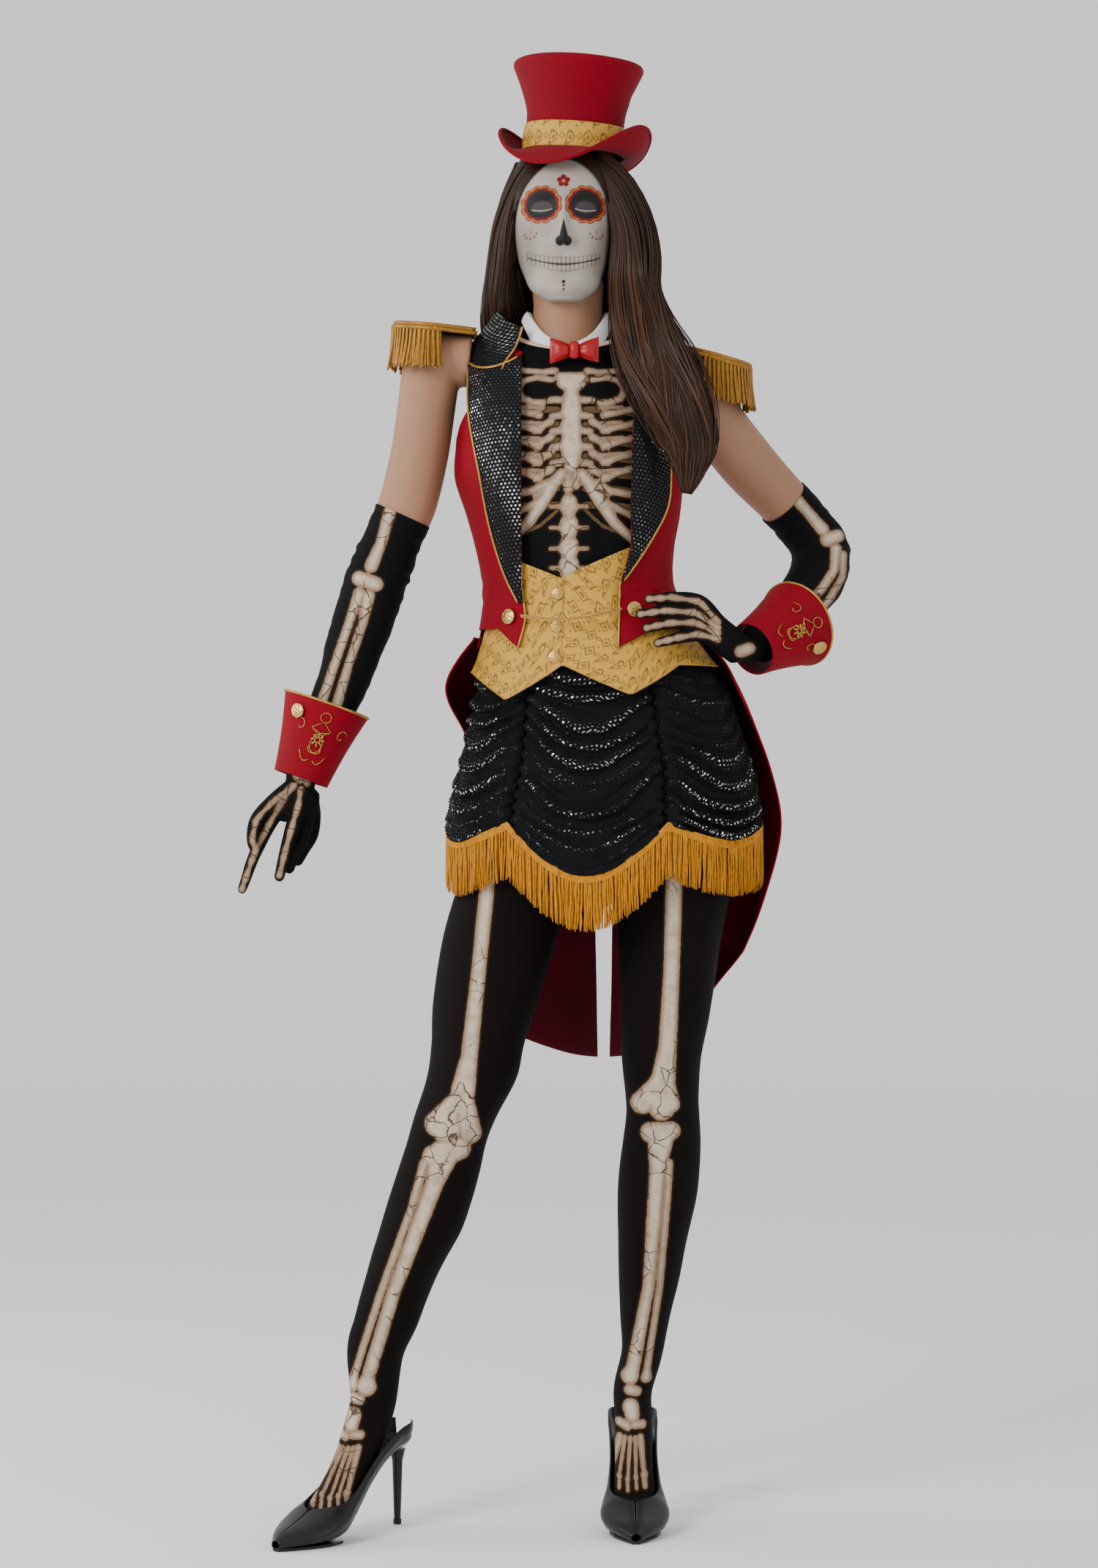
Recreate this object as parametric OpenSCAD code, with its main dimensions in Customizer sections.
// Life-size dressed catrina display figure: hollow papier-mache shells on a
// welded steel frame, with a cloth ringmaster costume worn over them.
// Millimetres, +Z up, the figure faces -Y, and "right" and "left" are the figure's own.

/* [Shells and cloth] */
// Wall of the papier-mache shells
shell_t = 5; // [4:0.5:6]
// Thickness of the jacket cloth
cloth_t = 2.5; // [1.5:0.5:3]
// Thickness of the stockings and glove sleeves
knit_t = 1.4; // [1:0.2:1.6]

/* [Steel frame] */
// Radius of the bar that both arms turn on
bar_r = 8; // [6:1:9]
// Radius of the neck post
post_r = 10; // [8:1:12]
// Radius of the leg rods
rod_r = 8; // [6:1:10]
// Radius of the wrist pins
pin_r = 6; // [4:1:7]
// Running clearance of each turning joint
run = 0.05; // [0.03:0.01:0.08]

/* [Hat] */
// Height of the crown above the brim
crown_h = 122; // [110:2:140]
// Radius of the crown at the band
crown_base_r = 68; // [67:1:72]
// Radius of the crown at the top
crown_top_r = 86; // [76:1:92]
// Half-width of the brim
brim_r = 104; // [98:1:112]
// Sideways lean of the hat in degrees
hat_roll = 3; // [0:1:4]

/* [Trimmings] */
// Drop of the gold fringe on the skirt
skirt_fringe_h = 75; // [50:5:90]
// Drop of the bullion fringe on the epaulettes
bullion_h = 47; // [35:1:50]
// Radius of the coat buttons
button_r = 11; // [8:1:14]
// Sag of the chain between the coat buttons
chain_sag = 9; // [4:1:14]

/* [Hidden] */
$fn = 48;

// Sides of a garment ring, of a limb ring and of a small trim
body_n = 24;
limb_n = 16;
trim_n = 8;

// Joint centres
shoulder_right = [-158, 0, 1550];
shoulder_left = [208, 0, 1512];
neck_axis = [25, 8];
bar_dir = (shoulder_left - shoulder_right) / norm(shoulder_left - shoulder_right);

// Torso stations, bottom up: z, centre x, centre y, half-width, front depth, back depth
torso = [
    [925, 68, 4, 158, 92, 104], [960, 72, 4, 166, 94, 110], [1000, 76, 4, 168, 92, 114],
    [1050, 76, 4, 164, 88, 108], [1100, 70, 3, 152, 84, 96], [1150, 60, 2, 134, 80, 86],
    [1200, 48, 0, 118, 76, 80], [1245, 40, 0, 112, 74, 80], [1290, 34, 0, 116, 78, 84],
    [1340, 32, 0, 126, 90, 90], [1390, 27, 0, 137, 104, 95], [1435, 27, 0, 136, 114, 97],
    [1480, 27, 0, 132, 102, 98], [1525, 27, 2, 124, 84, 92], [1565, 26, 4, 112, 66, 78],
    [1595, 25, 6, 84, 56, 62]];
// How far the top stations slope down to the front, and up to the back
slope_front = [[1435, 0], [1480, 0.05], [1525, 0.2], [1565, 0.45], [1595, 0.68]];
slope_back = [[1525, 0], [1565, 0.1], [1595, 0.2]];

// Leg stations, bottom up: z, centre x, centre y, half-width, half-depth
leg_right = [
    [196, -240, 2, 31, 38], [232, -230, 4, 33, 40], [272, -216, 6, 39, 44], [312, -203, 8, 43, 50],
    [352, -188, 8, 48, 55], [392, -171, 6, 53, 57], [432, -158, 2, 54, 56], [472, -146, -4, 53, 54],
    [512, -135, -10, 51, 53], [547, -123, -14, 53, 56], [597, -102, -12, 58, 62], [642, -94, -8, 60, 68],
    [697, -84, -3, 68, 74], [782, -65, 2, 74, 79], [860, -43, 4, 74, 78], [905, -36, 4, 72, 78]];
leg_left = [
    [196, 120, 74, 27, 37], [222, 125, 71, 26, 37], [272, 129, 64, 32, 42], [322, 134, 56, 39, 48],
    [372, 138, 46, 44, 54], [432, 144, 34, 51, 57], [472, 147, 25, 52, 56], [512, 150, 16, 50, 54],
    [547, 151, 8, 47, 55], [572, 150, 5, 47, 57], [622, 149, 2, 51, 62], [672, 154, 1, 56, 68],
    [722, 157, 2, 61, 74], [782, 160, 3, 67, 80], [860, 168, 4, 75, 86], [905, 172, 4, 77, 84]];

// Shoes: where the heel tip stands and which way the toe points, in degrees about +Z
shoe_right = [-202, 26, -129];
shoe_left = [113, 124, -90];
// Shoe stations from heel to toe: run, sole height, half-width, section height, half the opening angle
shoe = [
    [0, 104, 12, 66, 88], [14, 103, 25, 64, 84], [40, 98, 29, 58, 80], [70, 80, 28, 56, 78],
    [100, 52, 28, 56, 74], [130, 22, 32, 56, 64], [155, 6, 38, 52, 48], [176, 3.2, 40, 44, 24],
    [186, 3.2, 39, 38, 1.5], [205, 3.2, 33, 29, 1.5], [228, 3.2, 20, 20, 1.5], [248, 3.4, 6, 9, 1.5]];
// Foot stations from toe to heel inside the shoe: run, height, half-width, half-height
foot = [
    [222, 12, 12, 5], [205, 16, 22, 8], [180, 24, 32, 13], [155, 36, 31, 18], [125, 66, 25, 22],
    [95, 102, 24, 27], [74, 140, 23, 30], [60, 172, 22, 31], [55, 190, 20, 30]];

// Arm stations from shoulder to wrist: centre and radius. glove_at is where the glove begins
arm_right = [
    [-158, 0, 1532, 36], [-163, 1, 1480, 36], [-172, 2, 1420, 37], [-187, 4, 1358, 37],
    [-203, 5, 1320, 35], [-222, 6, 1275, 38], [-240, 2, 1220, 38], [-257, -2, 1170, 35],
    [-273, -6, 1120, 31], [-299, -10, 1062, 26], [-324, -12, 1008, 23]];
arm_left = [
    [210, 6, 1496, 34], [222, 18, 1464, 37], [267, 44, 1412, 37], [311, 66, 1368, 34],
    [338, 80, 1340, 34], [365, 84, 1300, 36], [362, 66, 1268, 36], [347, 44, 1243, 33],
    [328, 20, 1221, 30], [302, -10, 1196, 27], [272, -44, 1166, 23]];
glove_at = 3;
elbow_at = 5;

// Cuffs: centre and radius of the wide rim, then of the narrow rim
cuff_right_rims = [[-294, -8, 1090, 57], [-328, -13, 992, 36]];
cuff_left_rims = [[330, 16, 1198, 57], [266, -50, 1162, 35]];
cuff_t = 2;

// Distance of each garment's inner face from the shell under it
suit_off = 2.2;
glove_off = 2.9;
vest_off = 6;
jacket_off = 12;
lapel_off = 18;

// Skirt stations, bottom up: z, centre x, centre y, half-width, front depth, back depth
skirt_rows = [
    [950, 74, 4, 205, 128, 150], [1000, 77, 4, 194, 124, 144], [1050, 75, 4, 180, 114, 132],
    [1100, 71, 3, 168, 104, 118], [1150, 60, 2, 146, 92, 98], [1190, 50, 0, 129, 84.5, 88.5]];
skirt_t = 6;
// Scallops of the hem: first gather angle, and the dip of each scallop going round
gather_a = 232.5;
gather_z = 934;
hem_dips = [68, 24, 24, 44, 44, 24];

// Tail stations, bottom up: z, centre x, back depth, then half-width and front angle of each side
tail_rows = [
    [620, 75, 150, 158, 42, 150, 44], [700, 75, 156, 185, 40, 186, 34], [800, 75, 158, 216, 36, 214, 16],
    [880, 75, 160, 217, 32, 227, 8], [950, 75, 160, 216, 30, 230, 2], [1050, 70, 152, 197, 22, 205, -4],
    [1120, 62, 138, 198, 2, 184, -8], [1150, 58, 122, 178, -6, 172, -6], [1176, 54, 106, 152, -4, 150, -4]];
tail_slit = 3;

// Coat buttons: x and z of each centre
button_right = [-51, 1204];
button_left = [110, 1213];
chain_r = 1.8;

function lerp(a, b, t) = a + (b - a) * t;
function unit(v) = v / norm(v);
function column(tab, c) = [for (r = tab) [r[0], r[c]]];
// A station at height z, straight between the stations above and below it
function station(tab, z) = [for (c = [0:len(tab[0]) - 1]) c == 0 ? z : lookup(z, column(tab, c))];
// The stations between two heights, with both ends added
function span(tab, lo, hi) = concat([station(tab, lo)], [for (r = tab) if (r[0] > lo && r[0] < hi) r],
    [station(tab, hi)]);
// A point of a torso station at angle a, off millimetres outside it
function torso_point(r, a, off) = let (front = sin(a) < 0, y = ((front ? r[4] : r[5]) + off) * sin(a))
    [r[1] + (r[3] + off) * cos(a), r[2] + y, r[0] + y * lookup(r[0], front ? slope_front : slope_back)];
function torso_ring(r, off, n) = [for (i = [0:n - 1]) torso_point(r, i * 360 / n, off)];
function torso_arc(r, off, a0, a1, n) = [for (i = [0:n]) torso_point(r, lerp(a0, a1, i / n), off)];
// The angle at which the front of a station crosses x
function front_angle(r, x, off) = 360 - acos(max(-1, min(1, (x - r[1]) / (r[3] + off))));
function oval_ring(r, off, n) = [for (i = [0:n - 1]) let (a = i * 360 / n)
    [r[1] + (r[3] + off) * cos(a), r[2] + (r[4] + off) * sin(a), r[0]]];
// A ring about direction d, whose first axis is the part of side that is square to d
function ring_about(c, d, side, r1, r2, n) = let (u = unit(d), s = unit(side - u * (u * side)), t = cross(u, s))
    [for (i = [0:n - 1]) c + r1 * cos(i * 360 / n) * s + r2 * sin(i * 360 / n) * t];
function centre(p) = [p[0], p[1], p[2]];
function heading(path, i) = centre(path[min(i + 1, len(path) - 1)]) - centre(path[max(i - 1, 0)]);
function limb_rings(path, first, last, off) = [for (i = [first:last])
    ring_about(centre(path[i]), heading(path, i), [0, 1, 0], path[i][3] + off, path[i][3] + off, limb_n)];

// A closed solid between an outer and an inner grid of points; wrap joins the ends of each row
module skin(outer, inner, wrap = true) {
    m = len(outer);
    n = len(outer[0]);
    last = wrap ? n - 1 : n - 2;
    half = m * n;
    function id(i, j) = i * n + j % n;
    function sheet(i, j) = [id(i, j), id(i + 1, j), id(i + 1, j + 1), id(i, j + 1)];
    function flip(f) = [for (k = [len(f) - 1:-1:0]) f[k]];
    function rim(i, j) = [id(i, j), id(i, j + 1), id(i, j + 1) + half, id(i, j) + half];
    function edge(i, j) = [id(i, j), id(i, j) + half, id(i + 1, j) + half, id(i + 1, j)];
    quads = concat(
        [for (i = [0:m - 2], j = [0:last]) sheet(i, j)],
        [for (i = [0:m - 2], j = [0:last]) flip([for (k = sheet(i, j)) k + half])],
        [for (j = [0:last]) rim(0, j)],
        [for (j = [0:last]) flip(rim(m - 1, j))],
        wrap ? [] : [for (i = [0:m - 2]) edge(i, 0)],
        wrap ? [] : [for (i = [0:m - 2]) flip(edge(i, n - 1))]);
    faces = [for (q = quads) each [[q[0], q[1], q[2]], [q[0], q[2], q[3]]]];
    polyhedron([for (r = concat(outer, inner)) each r], faces);
}

// A closed solid through rings, flat at both ends
module loft(rings) {
    m = len(rings);
    n = len(rings[0]);
    function id(i, j) = i * n + j % n;
    sides = [for (i = [0:m - 2], j = [0:n - 1]) each [
        [id(i, j), id(i + 1, j), id(i + 1, j + 1)], [id(i, j), id(i + 1, j + 1), id(i, j + 1)]]];
    caps = [[for (j = [0:n - 1]) j], [for (j = [n - 1:-1:0]) (m - 1) * n + j]];
    polyhedron([for (r = rings) each r], concat(sides, caps));
}

// A round cord through points
module cord(points, r, n = 6) {
    loft([for (i = [0:len(points) - 1])
        ring_about(points[i], points[min(i + 1, len(points) - 1)] - points[max(i - 1, 0)], [0.1, 1, 0.2], r, r, n)]);
}

// Stands a shape on p, its +Z turned to direction d
module aim(p, d) {
    u = unit(d);
    translate(p) rotate([0, acos(u[2]), atan2(u[1], u[0])]) children();
}

module rod(a, b, r) {
    aim(a, b - a) cylinder(h = norm(b - a), r = r);
}

module button(p, d, r = button_r) {
    aim(p, d) {
        cylinder(h = 3, r = r);
        translate([0, 0, 3]) cylinder(h = 1.5, r1 = r, r2 = r * 0.7);
    }
}

// Steel frame

bar_at_neck = lerp(shoulder_right, shoulder_left,
    (neck_axis[0] - shoulder_right[0]) / (shoulder_left[0] - shoulder_right[0]));
hip_mid = [68, 4, 930];

module hip_bar(r) {
    rod(hip_mid - [98, 0, 0], hip_mid + [98, 0, 0], r);
}

module arm_bar(r, reach) {
    rod(shoulder_right - reach * bar_dir, shoulder_left + reach * bar_dir, r);
}

module spine_post() {
    seat_z = 1565;
    color("dimgray") difference() {
        union() {
            rod(hip_mid, [neck_axis[0], 2, bar_at_neck[2]], 12);
            translate([neck_axis[0], neck_axis[1], bar_at_neck[2]]) cylinder(h = 1655 - bar_at_neck[2], r = post_r);
            translate([neck_axis[0], neck_axis[1], bar_at_neck[2]]) cylinder(h = seat_z - bar_at_neck[2], r = 16);
            translate(hip_mid) sphere(r = 20);
            translate(bar_at_neck) sphere(r = 22);
        }
        hip_bar(rod_r + run);
        arm_bar(bar_r + run, 10);
    }
}

module shoulder_bar() {
    color("silver") arm_bar(bar_r, 22);
}

module leg_frame() {
    hips = [hip_mid - [98, 0, 0], hip_mid + [98, 0, 0]];
    knees = [[-112, -12, 570], [150, 6, 562]];
    ankles = [[-236, 2, 212], [122, 72, 212]];
    color("dimgray") {
        hip_bar(rod_r);
        for (k = [0, 1]) {
            translate(hips[k]) sphere(r = rod_r + 3);
            rod(hips[k], knees[k], rod_r);
            translate(knees[k]) sphere(r = rod_r + 2);
            rod(knees[k], ankles[k], rod_r);
        }
    }
}

// Papier-mache body

module torso_shell() {
    rows = span(torso, 960, 1595);
    color("tan") difference() {
        skin([for (r = rows) torso_ring(r, 0, body_n)], [for (r = rows) torso_ring(r, -shell_t, body_n)]);
        arm_bar(bar_r + 1.5, 60);
    }
}

function on_shoe(s, k, z) = let (a = s[2]) [s[0] + (k - 12) * cos(a), s[1] + (k - 12) * sin(a), z];
function shoe_side(s) = [-sin(s[2]), cos(s[2]), 0];
function foot_rings(s, off) = [for (i = [0:len(foot) - 1]) let (f = foot[i], g = foot[min(i + 1, len(foot) - 1)],
    e = foot[max(i - 1, 0)]) ring_about(on_shoe(s, f[0], f[1]), on_shoe(s, g[0], g[1]) - on_shoe(s, e[0], e[1]),
    shoe_side(s), f[2] + off, f[3] + off, limb_n)];

module leg_shell(tab, s) {
    rows = span(tab, 196, 905);
    color("tan") {
        skin([for (r = rows) oval_ring(r, 0, limb_n)], [for (r = rows) oval_ring(r, -shell_t, limb_n)]);
        loft(foot_rings(s, 0));
    }
}

module stocking(tab, top) {
    rows = span(tab, 196, top);
    skin([for (r = rows) oval_ring(r, 1 + knit_t, limb_n)], [for (r = rows) oval_ring(r, 1, limb_n)]);
}

module stockings() {
    color("#16110f") {
        stocking(leg_right, 880);
        stocking(leg_left, 880);
    }
}

// Shoes

function shoe_ring(s, row, off) = [for (i = [0:limb_n]) let (a = lerp(row[4], 360 - row[4], i / limb_n),
    w = (row[2] + off) * sin(a), h = row[1] + row[3] / 2 + (row[3] / 2 + off) * cos(a))
    on_shoe(s, row[0], h) + w * shoe_side(s)];

module shoe_upper(s) {
    upper_t = 1.6;
    color("#111111") skin([for (r = shoe) shoe_ring(s, r, -upper_t)], [for (r = shoe) shoe_ring(s, r, 0)], false);
}

module shoe_sole(s) {
    sole_t = 3;
    outline = [for (r = shoe) if (r[0] > 150) [r[0], r[2] * 0.85]];
    translate([s[0], s[1], 0]) rotate([0, 0, s[2]]) translate([-12, 0, 0])
        linear_extrude(sole_t) polygon(concat([for (p = outline) [p[0], -p[1]]],
            [for (k = [len(outline) - 1:-1:0]) outline[k]]));
}

module shoe_soles() {
    color("#1d1a1a") {
        shoe_sole(shoe_right);
        shoe_sole(shoe_left);
    }
}

module shoe_heel(s) {
    tip_h = 6;
    translate([s[0], s[1], 0]) {
        cylinder(h = tip_h, r = 5.5);
        translate([0, 0, tip_h]) cylinder(h = 84 - tip_h, r1 = 4.5, r2 = 7);
        translate([0, 0, 84]) cylinder(h = 16, r1 = 7, r2 = 11);
    }
}

module shoe_heels() {
    color("#111111") {
        shoe_heel(shoe_right);
        shoe_heel(shoe_left);
    }
}

// Shirt, bow and bodysuit

module bodysuit() {
    rows = span(torso, 1245, 1595);
    wall = 1.5;
    color("#0c0b0b") difference() {
        skin([for (r = rows) torso_ring(r, suit_off + wall, body_n)],
            [for (r = rows) torso_ring(r, suit_off, body_n)]);
        arm_bar(bar_r + 1.5, 60);
    }
}

module shirt_collar() {
    // z and radius, standing round the neck with its ends apart in front
    rows = [[1566, 52], [1588, 51], [1610, 50]];
    wall = 1.8;
    function ring(r, off) = [for (i = [0:22]) let (a = lerp(-58, 238, i / 22),
        droop = sin(a) < 0 ? 12 * sin(a) : 0)
        [neck_axis[0] + (r[1] + off) * cos(a), neck_axis[1] + (r[1] + off) * sin(a),
            r[0] + droop * (r[0] - 1566) / 44]];
    color("white") skin([for (r = rows) ring(r, wall)], [for (r = rows) ring(r, 0)], false);
}

module bow_tie() {
    p = [33, -76, 1551];
    color("#c8101c") translate(p) {
        for (side = [-1, 1]) hull() {
            translate([side * 6, 0, 0]) sphere(r = 5, $fn = 12);
            translate([side * 28, -1, 13]) sphere(r = 4, $fn = 12);
            translate([side * 28, -1, -13]) sphere(r = 4, $fn = 12);
        }
        hull() for (z = [-5, 5]) translate([0, -3, z]) sphere(r = 6, $fn = 12);
    }
}

// Vest and skirt

vest_flare = [[1100, 30], [1150, 17], [1200, 9], [1245, 6], [1290, 6], [1340, 6]];
function vest_row(z, off) = let (r = station(torso, z), f = lookup(z, vest_flare) + off)
    [r[0], r[1], r[2], r[3] + f, r[4] + f, r[5] + f];

module vest() {
    heights = [1140, 1160, 1200, 1240, 1300];
    // The lower edge drops to a point on each side of the front, the upper edge to one in the middle
    function drop(x) = 46 * max(0, 1 - abs(x + 44) / 62) + 38 * max(0, 1 - abs(x - 90) / 74);
    function dip(x) = 46 * max(0, 1 - abs(x - 10) / 110);
    last = len(heights) - 1;
    function down(k, p) = p[1] >= 0 ? 0 : k == 0 ? drop(p[0]) : k == last ? dip(p[0]) : 0;
    function ring(k, off) = let (r = vest_row(heights[k], 0)) [for (i = [0:body_n - 1]) let (a = i * 360 / body_n)
        torso_point(vest_row(heights[k] - down(k, torso_point(r, a, 0)), off), a, 0)];
    color("#d9b45a") skin([for (k = [0:last]) ring(k, cloth_t)], [for (k = [0:last]) ring(k, 0)]);
}

module vest_buttons() {
    color("#cfc2a0") for (z = [1233, 1190, 1150]) let (r = vest_row(z, cloth_t), a = front_angle(r, 11, 0))
        button(torso_point(r, a, 2.6), [-0.3, -1, 0.15], 8);
}

function hem_z(a) = let (t = (a - gather_a + 720) / 60, k = floor(t) % len(hem_dips), f = t - floor(t))
    gather_z - hem_dips[k] * sin(180 * f);

function hem_ring(off, dz) = [for (i = [0:2 * body_n - 1]) let (a = i * 180 / body_n,
    p = torso_point(skirt_rows[0], a, off)) [p[0], p[1], hem_z(a) + dz]];

module skirt() {
    n = 2 * body_n;
    color("#101012") skin(concat([hem_ring(0, 0)], [for (r = skirt_rows) torso_ring(r, 0, n)]),
        concat([hem_ring(-skirt_t, 0)], [for (r = skirt_rows) torso_ring(r, -skirt_t, n)]));
}

module skirt_fringe() {
    wall = 3;
    flare = 3;
    color("#d08a18") skin([hem_ring(flare, -skirt_fringe_h), hem_ring(-1, -0.5)],
        [hem_ring(flare - wall, -skirt_fringe_h), hem_ring(-1 - wall, -0.5)]);
}

// Tailcoat

// x of the front opening, of the lapel's outer edge, at each height: right side then left side
opening_right = [[1163, -40], [1200, -31], [1245, -36], [1340, -37], [1565, -36]];
opening_left = [[1163, 90], [1244, 92], [1268, 100], [1297, 108], [1345, 107], [1442, 109], [1496, 114],
    [1565, 100]];
lapel_edge_right = [[1222, -41], [1250, -55], [1302, -73], [1394, -92], [1480, -107], [1535, -110]];
lapel_edge_left = [[1250, 98], [1268, 111], [1307, 136], [1345, 155], [1394, 160], [1480, 152], [1535, 140]];
armhole = [[1163, 0], [1440, 0], [1480, 26], [1525, 36], [1565, 38], [1590, 38]];
// The coat stands further off at its hem, over the flare of the vest
coat_off = [[1163, 20], [1245, jacket_off], [1590, jacket_off]];
coat_rows = concat([station(torso, 1163)], span(torso, 1245, 1590));
hem_rise = 26;

// One panel of the coat, from angle function ends; its hem rises away from the front opening
module coat_panel(side) {
    function ends(r, off) = let (h = lookup(r[0], armhole))
        side == 0 ? [h, 180 - h] :
        side < 0 ? [180.4 + h, front_angle(r, lookup(r[0], opening_right), off)] :
        [front_angle(r, lookup(r[0], opening_left), off), 359.6 - h];
    n = side == 0 ? 14 : 8;
    function rise(i) = side == 0 ? 1 : min(1, (side < 0 ? n - i : i) / 2.5);
    function arc(r, extra) = let (off = lookup(r[0], coat_off) + extra, e = ends(r, off),
        p = torso_arc(r, off, e[0], e[1], n), up = r[0] == coat_rows[0][0] ? hem_rise : 0)
        [for (i = [0:n]) p[i] + [0, 0, up * rise(i)]];
    color("#a30f22") skin([for (r = coat_rows) arc(r, cloth_t)], [for (r = coat_rows) arc(r, 0)], false);
}

module jacket_back() {
    coat_panel(0);
}

module jacket_front_right() {
    coat_panel(-1);
}

module jacket_front_left() {
    coat_panel(1);
}

function lapel_rows(edge) = span(torso, edge[0][0], edge[len(edge) - 1][0]);

module lapel(inner_x, outer_x, flip) {
    rows = lapel_rows(outer_x);
    function arc(r, off) = let (a = front_angle(r, lookup(r[0], inner_x), off),
        b = front_angle(r, lookup(r[0], outer_x), off))
        torso_arc(r, off, flip ? b : a, flip ? a : b, 8);
    color("#151517") skin([for (r = rows) arc(r, lapel_off + cloth_t)], [for (r = rows) arc(r, lapel_off)], false);
}

module lapel_right() {
    lapel(opening_right, lapel_edge_right, true);
}

module lapel_left() {
    lapel(opening_left, lapel_edge_left, false);
}

module lapel_piping() {
    cord_r = 1.6;
    function route(edge) = [for (r = lapel_rows(edge)) let (off = lapel_off + cloth_t + cord_r + 0.6)
        torso_point(r, front_angle(r, lookup(r[0], edge), off), off)];
    color("#c8963c") for (edge = [lapel_edge_right, lapel_edge_left]) cord(route(edge), cord_r);
}

module jacket_collar() {
    // Station height, distance from the torso, and lift: lies on the shoulders, then stands round the neck
    rows = [[1545, 17, 0], [1570, 17, 0], [1594, 17, 0], [1594, 9, 22]];
    wall = 3;
    function arc(k, off) = [for (p = torso_arc(station(torso, k[0]), k[1] + off, -50, 230, 22)) p + [0, 0, k[2]]];
    color("#151517") difference() {
        skin([for (k = rows) arc(k, wall)], [for (k = rows) arc(k, 0)], false);
        arm_bar(bar_r + 1.5, 60);
    }
}

// The hem of each tail curves up towards its front edge
function tail_ring(r, w, a0, a1, off) = [for (i = [0:10]) let (a = lerp(a0, a1, i / 10))
    [r[1] + (w + off) * cos(a), 2 + (r[2] + off) * sin(a),
        r[0] + (r[0] == tail_rows[0][0] ? 60 * pow(cos(a), 2) : 0)]];

module tail(side) {
    function arc(r, off) = side < 0 ? tail_ring(r, r[3], 90 + tail_slit, 180 - r[4], off)
        : tail_ring(r, r[5], r[6], 90 - tail_slit, off);
    color("#8c0d1e") skin([for (r = tail_rows) arc(r, cloth_t)], [for (r = tail_rows) arc(r, 0)], false);
}

module jacket_tail_right() {
    tail(-1);
}

module jacket_tail_left() {
    tail(1);
}

// A point of the coat's outer face at x and z, off millimetres outside it, and the way it faces there
function coat_point(q, off) = let (r = station(coat_rows, q[1]), d = lookup(q[1], coat_off) + cloth_t + off)
    torso_point(r, front_angle(r, q[0], d), d);
function coat_normal(q) = let (r = station(coat_rows, q[1]), d = lookup(q[1], coat_off), a = front_angle(r, q[0], d))
    unit(unit([cos(a) / (r[3] + d), sin(a) / (r[4] + d), 0]) + [0, 0, 0.17]);

module jacket_buttons() {
    clear = 1.9;
    color("#d8b65a") for (q = [button_right, button_left]) button(coat_point(q, clear), coat_normal(q));
}

chain_ends = [[-35, -84, 1204], [92, -93, 1213]];

module chain() {
    a = chain_ends[0];
    b = chain_ends[1];
    steps = 14;
    proud = 16;
    eye_l = 3;
    color("#b08a3c") {
        cord([for (i = [0:steps]) let (t = i / steps)
            lerp(a, b, t) - [0, proud * sin(180 * t), chain_sag * 4 * t * (1 - t)]], chain_r, trim_n);
        rod(a, a + eye_l * unit(b - a), chain_r + 0.6);
        rod(b, b + eye_l * unit(a - b), chain_r + 0.6);
    }
}

// Epaulettes

module at_shoulder(s) {
    right = s[0] < 0;
    above = 36;
    translate(s) rotate([0, right ? -4.5 : 16, right ? 180 : 0]) translate([0, 0, above]) children();
}

board_t = 4;
board_r = 50;
strap_l = 56;

module board_shape() {
    hull() {
        circle(r = board_r);
        translate([-strap_l, 0]) square([1, 50], center = true);
    }
}

module epaulette(s) {
    color("#141414") at_shoulder(s) linear_extrude(board_t) board_shape();
}

module epaulette_right() {
    epaulette(shoulder_right);
}

module epaulette_left() {
    epaulette(shoulder_left);
}

module epaulette_fringe(s) {
    wall = 7;
    color("#b98320") at_shoulder(s) translate([0, 0, board_t - bullion_h]) rotate([0, 0, -100])
        rotate_extrude(angle = 200) translate([board_r + 0.5, 0]) square([wall, bullion_h]);
}

module epaulette_fringe_right() {
    epaulette_fringe(shoulder_right);
}

module epaulette_fringe_left() {
    epaulette_fringe(shoulder_left);
}

module epaulette_buttons() {
    color("#cdb780") for (s = [shoulder_right, shoulder_left])
        at_shoulder(s) translate([-14, 0, board_t + 0.2]) button([0, 0, 0], [0, 0, 1], 8);
}

// Head, hair and hat

// Head stations, bottom up: z, centre x, centre y, half-width, front depth, back depth
head = [
    [1618, 20, -50, 20, 24, 22], [1630, 20, -36, 38, 44, 42], [1655, 19, -18, 52, 64, 58],
    [1690, 18, -6, 62, 78, 76], [1730, 18, 0, 67, 85, 88], [1770, 20, 4, 68, 84, 90],
    [1800, 23, 6, 62, 70, 76], [1818, 26, 7, 56, 59, 63], [1838, 28, 8, 46, 48, 53],
    [1852, 30, 9, 32, 34, 39], [1860, 31, 10, 16, 18, 22]];
neck_r = 47;
neck_bottom = 1563;
bush_r = 41;

// A head ring lies level, with its own depth in front and behind
function head_point(r, a, off) = [r[1] + (r[3] + off) * cos(a),
    r[2] + ((sin(a) < 0 ? r[4] : r[5]) + off) * sin(a), r[0]];
function head_ring(r, off) = [for (i = [0:19]) head_point(r, i * 18, off)];
// A head station drawn in by the wall of the shell
function head_row(z, off) = let (r = station(head, z)) [z, r[1], r[2], r[3] + off, r[4] + off, r[5] + off];

module head_shell() {
    color("#c9bfb4") difference() {
        union() {
            loft([for (r = head) head_ring(r, 0)]);
            translate([neck_axis[0], neck_axis[1], neck_bottom]) cylinder(h = 100, r = neck_r);
        }
        loft([for (z = [1668, 1690, 1730, 1770, 1800, 1818, 1838, 1850]) head_ring(head_row(z, -shell_t), 0)]);
        translate([neck_axis[0], neck_axis[1], neck_bottom - 1]) cylinder(h = 78, r = bush_r + 0.3);
        translate([neck_axis[0], neck_axis[1], neck_bottom]) cylinder(h = 120, r = 20);
    }
}

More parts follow.
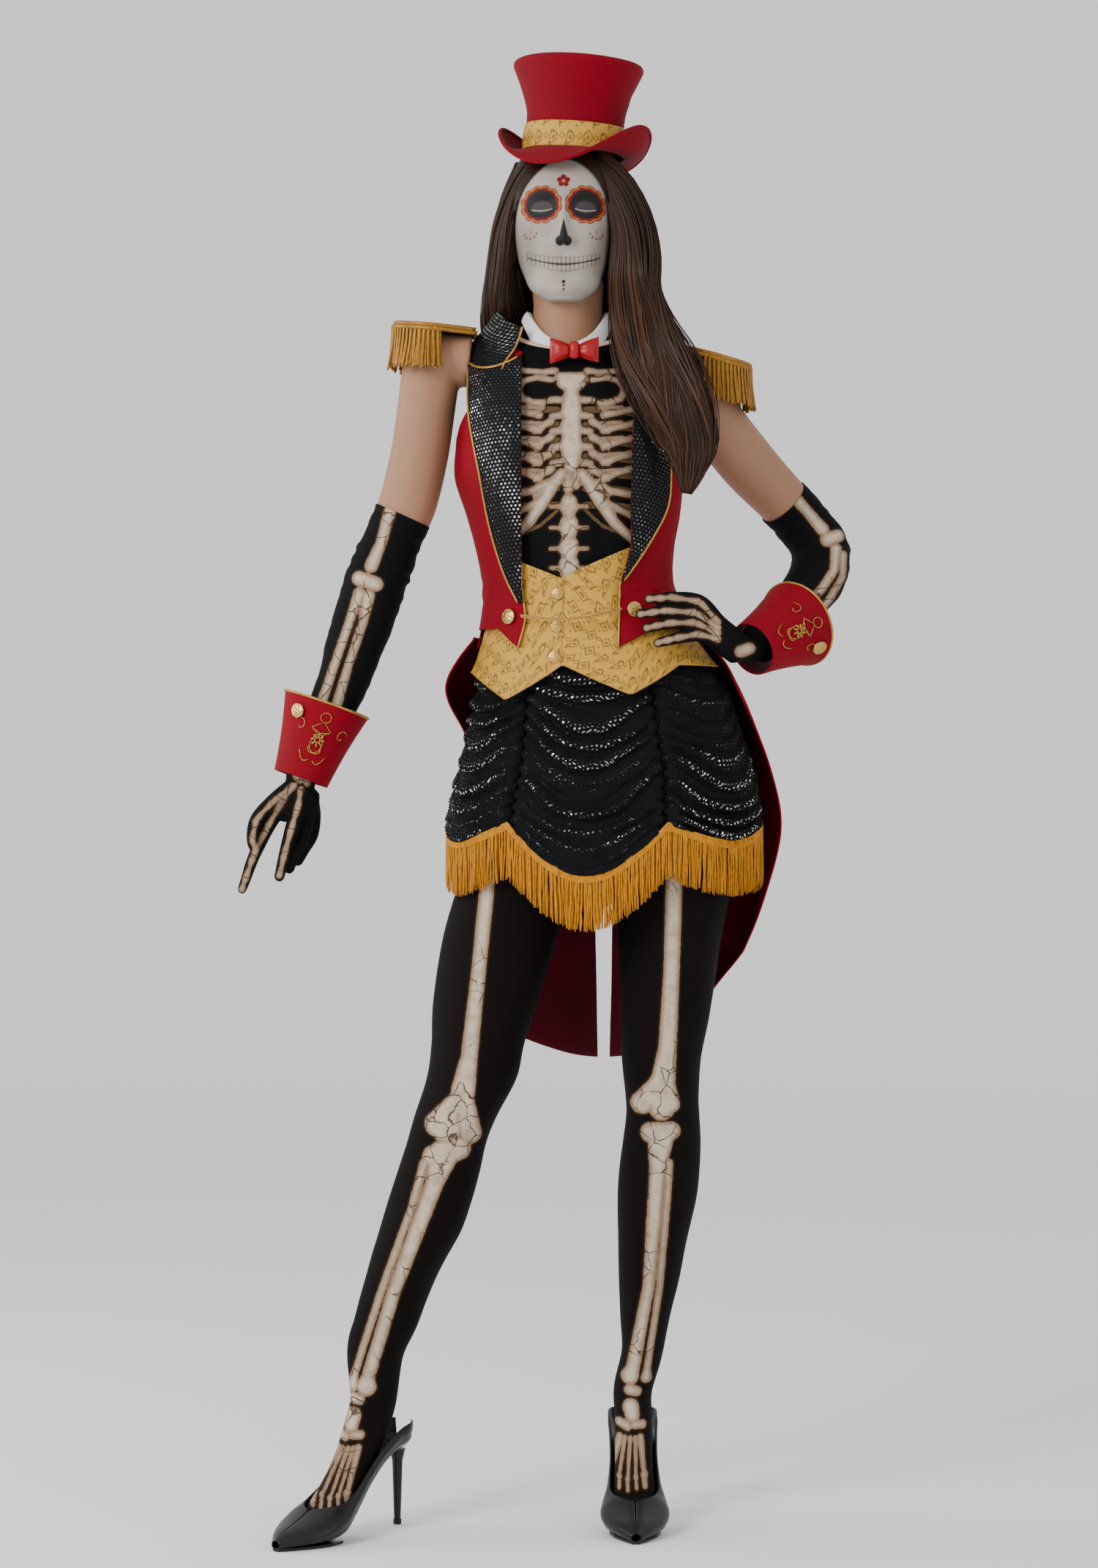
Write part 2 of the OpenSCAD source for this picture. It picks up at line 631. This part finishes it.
module neck_bush() {
    bush_h = 70;
    color("burlywood") translate([neck_axis[0], neck_axis[1], 1566]) difference() {
        cylinder(h = bush_h, r = bush_r);
        translate([0, 0, -1]) cylinder(h = bush_h + 2, r = post_r + run);
    }
}

cap_gap = 1;

module wig_cap() {
    // z of each row and the hair's thickness there, then how much more it bulges at the sides
    depth = [[1700, 10], [1730, 12], [1770, 12], [1790, 9], [1803, 5]];
    bulge = [[1700, 34], [1730, 34], [1770, 22], [1790, 12], [1803, 4]];
    rows = span(head, 1700, 1803);
    function thick(r, a) = lookup(r[0], depth) + lookup(r[0], bulge) * pow(cos(a), 2) * (cos(a) > 0 ? 1.2 : 0.8);
    function arc(r, grow) = [for (i = [0:20]) let (a = lerp(-38, 206, i / 20))
        head_point(r, a, cap_gap + (grow ? thick(r, a) : 0))];
    color("#3b241a") skin([for (r = rows) arc(r, true)], [for (r = rows) arc(r, false)], false);
}

module hair_fall_left() {
    // Centre, height, half-width and half-thickness down the lock that lies over the chest
    lock = [[122, -50, 1648, 29, 13], [124, -74, 1610, 38, 15], [128, -84, 1576, 44, 16], [142, -92, 1540, 52, 16],
        [166, -118, 1482, 50, 14], [182, -114, 1430, 41, 13], [182, -108, 1396, 23, 10], [178, -104, 1362, 8, 5]];
    color("#3b241a") loft([for (k = [len(lock) - 1:-1:0]) let (p = lock[k])
        [for (i = [0:11]) [p[0] + p[3] * cos(i * 30), p[1] + p[4] * sin(i * 30), p[2]]]]);
}

module hair_back() {
    // z, half the angle covered, half-width and depth about the neck
    rows = [[1470, 30, 150, 113], [1540, 44, 142, 106], [1590, 54, 114, 98], [1622, 64, 106, 95],
        [1656, 74, 96, 94], [1692, 80, 92, 98]];
    wall = 12;
    function arc(r, off) = [for (i = [0:12]) let (a = lerp(90 - r[1], 90 + r[1], i / 12))
        [neck_axis[0] + (r[2] + off) * cos(a), neck_axis[1] + (r[3] + off) * sin(a), r[0]]];
    color("#3b241a") skin([for (r = rows) arc(r, wall)], [for (r = rows) arc(r, 0)], false);
}

hat_seat = [33, 8, 1818];

module on_head() {
    translate(hat_seat) rotate([0, hat_roll, 0]) children();
}

module hat_crown() {
    wall = 2;
    waist_r = crown_base_r - 4;
    waist_h = crown_h * 0.32;
    color("#8f0d20") on_head() rotate_extrude() polygon([
        [crown_base_r - wall, 0], [crown_base_r, 0], [waist_r, waist_h], [crown_top_r - 12, crown_h * 0.72],
        [crown_top_r, crown_h - 10], [crown_top_r - 4, crown_h - 2], [crown_top_r - 10, crown_h],
        [0, crown_h + 3], [0, crown_h + 1], [crown_top_r - 11, crown_h - 2], [crown_top_r - wall, crown_h - 11],
        [crown_top_r - 12 - wall, crown_h * 0.72], [waist_r - wall, waist_h]]);
}

module hat_brim() {
    wall = 3;
    radii = [crown_base_r + 0.5, 84, 96, brim_r];
    // The brim dips in front and behind and curls up at the sides, with its front turned to one side
    rise = [0, 3, 14, 34];
    turn = 22;
    function ring(k, dz) = [for (i = [0:31]) let (a = i * 360 / 32, c = pow(cos(a + turn), 2),
        dip = sin(a + turn) < 0 ? 28 : 10)
        [radii[k] * cos(a), radii[k] * sin(a) * 1.04, dz - dip * (k / 3) * (1 - c) + rise[k] * c]];
    color("#7a0b1b") on_head() skin([for (k = [3:-1:0]) ring(k, wall)], [for (k = [3:-1:0]) ring(k, 0)]);
}

module hat_band() {
    band_h = 34;
    color("#d9b45a") on_head() translate([0, 0, 4]) difference() {
        cylinder(h = band_h, r = crown_base_r + 3);
        translate([0, 0, -1]) cylinder(h = band_h + 2, r = crown_base_r + 0.6);
    }
}

// Arms

module shoulder_hub(s) {
    hub_r = 29;
    color("burlywood") difference() {
        translate(s) sphere(r = hub_r);
        rod(s - 60 * bar_dir, s + 60 * bar_dir, bar_r + run);
    }
}

module upper_arm(path) {
    color("#c69a78") skin(limb_rings(path, 0, elbow_at, 0), limb_rings(path, 0, elbow_at, -shell_t));
}

module forearm(path) {
    last = len(path) - 1;
    color("tan") skin(limb_rings(path, elbow_at, last, 0), limb_rings(path, elbow_at, last, -shell_t));
}

module glove_sleeve(path) {
    last = len(path) - 1;
    color("#0d0d0e") skin(limb_rings(path, glove_at, last, glove_off + knit_t),
        limb_rings(path, glove_at, last, glove_off));
}

module cuff(rims) {
    d = centre(rims[1]) - centre(rims[0]);
    function ring(k, off) = ring_about(centre(rims[k]), d, [0, 1, 0], rims[k][3] + off, rims[k][3] + off, body_n);
    color("#9c1022") skin([ring(0, 0), ring(1, 0)], [ring(0, -cuff_t), ring(1, -cuff_t)]);
}

// A button on the cuff, near its wide rim, on the side that faces out
module cuff_button(rims, out) {
    a = centre(rims[0]);
    d = unit(centre(rims[1]) - a);
    n = unit(out - d * (out * d));
    down = 22;
    r = lerp(rims[0][3], rims[1][3], down / norm(centre(rims[1]) - a));
    color("#d8b65a") button(a + down * d + (r + 2) * n, n, 10);
}

function wrist(path) = centre(path[len(path) - 1]);
function wrist_dir(path) = unit(wrist(path) - centre(path[len(path) - 2]));
wrist_gap = 2;
pin_out = 24;

module wrist_pin(path) {
    w = wrist(path);
    d = wrist_dir(path);
    plug_l = 14;
    color("silver") {
        rod(w - (plug_l + 2) * d, w - 2 * d, 16);
        rod(w - 8 * d, w + (wrist_gap + pin_out) * d, pin_r);
    }
}

module finger(points, r0, r1) {
    n = len(points) - 1;
    for (i = [0:n - 1]) hull() {
        translate(points[i]) sphere(r = lerp(r0, r1, i / n), $fn = 10);
        translate(points[i + 1]) sphere(r = lerp(r0, r1, (i + 1) / n), $fn = 10);
    }
}

module hand(path, palm, palm_r) {
    w = wrist(path);
    d = wrist_dir(path);
    socket_l = pin_out + 4;
    color("#0d0d0e") difference() {
        union() {
            rod(w + wrist_gap * d, w + (wrist_gap + socket_l) * d, 20);
            hull() for (p = concat([w + (wrist_gap + socket_l - 6) * d], palm))
                translate(p) sphere(r = palm_r, $fn = 12);
            children();
        }
        rod(w - d, w + (wrist_gap + pin_out + 1) * d, pin_r + run);
    }
}

module hand_right() {
    hand(arm_right, [[-336, -20, 950], [-318, 2, 944], [-330, -14, 968]], 15) {
        finger([[-352, -26, 940], [-378, -34, 908], [-403, -40, 848]], 10, 6.5);
        finger([[-332, -36, 936], [-342, -48, 896], [-354, -50, 862]], 10, 7);
        hull() for (p = [[-320, 4, 930], [-330, -4, 892], [-316, 8, 898]]) translate(p) sphere(r = 10, $fn = 10);
    }
}

module hand_left() {
    hand(arm_left, [[226, -80, 1168], [212, -76, 1190], [214, -80, 1162]], 11) {
        for (k = [0:3]) hull() {
            translate([204, -88, 1196 - 13 * k]) sphere(r = 8, $fn = 10);
            translate([126 + 3 * abs(k - 1), -112 + 2 * k, 1226 - 19 * k]) sphere(r = 6, $fn = 10);
        }
    }
}

spine_post();
shoulder_bar();
leg_frame();
torso_shell();
leg_shell(leg_right, shoe_right);  // leg_shell_right
leg_shell(leg_left, shoe_left);  // leg_shell_left
stockings();
shoe_upper(shoe_right);  // shoe_upper_right
shoe_upper(shoe_left);  // shoe_upper_left
shoe_soles();
shoe_heels();
bodysuit();
shirt_collar();
bow_tie();
vest();
vest_buttons();
jacket_back();
jacket_front_right();
jacket_front_left();
lapel_right();
lapel_left();
jacket_collar();
jacket_tail_right();
jacket_tail_left();
lapel_piping();
jacket_buttons();
epaulette_right();
epaulette_left();
epaulette_fringe_right();
epaulette_fringe_left();
epaulette_buttons();
skirt();
skirt_fringe();
hair_fall_left();
hair_back();
head_shell();
neck_bush();
wig_cap();
hat_crown();
hat_brim();
hat_band();
shoulder_hub(shoulder_right);  // shoulder_hub_right
upper_arm(arm_right);  // upper_arm_right
forearm(arm_right);  // forearm_right
glove_sleeve(arm_right);  // glove_sleeve_right
cuff(cuff_right_rims);  // cuff_right
cuff_button(cuff_right_rims, [-0.7, -1, 0]);  // cuff_button_right
wrist_pin(arm_right);  // wrist_pin_right
hand_right();
shoulder_hub(shoulder_left);  // shoulder_hub_left
upper_arm(arm_left);  // upper_arm_left
forearm(arm_left);  // forearm_left
glove_sleeve(arm_left);  // glove_sleeve_left
cuff(cuff_left_rims);  // cuff_left
cuff_button(cuff_left_rims, [0.5, -1, -0.8]);  // cuff_button_left
wrist_pin(arm_left);  // wrist_pin_left
hand_left();
chain();
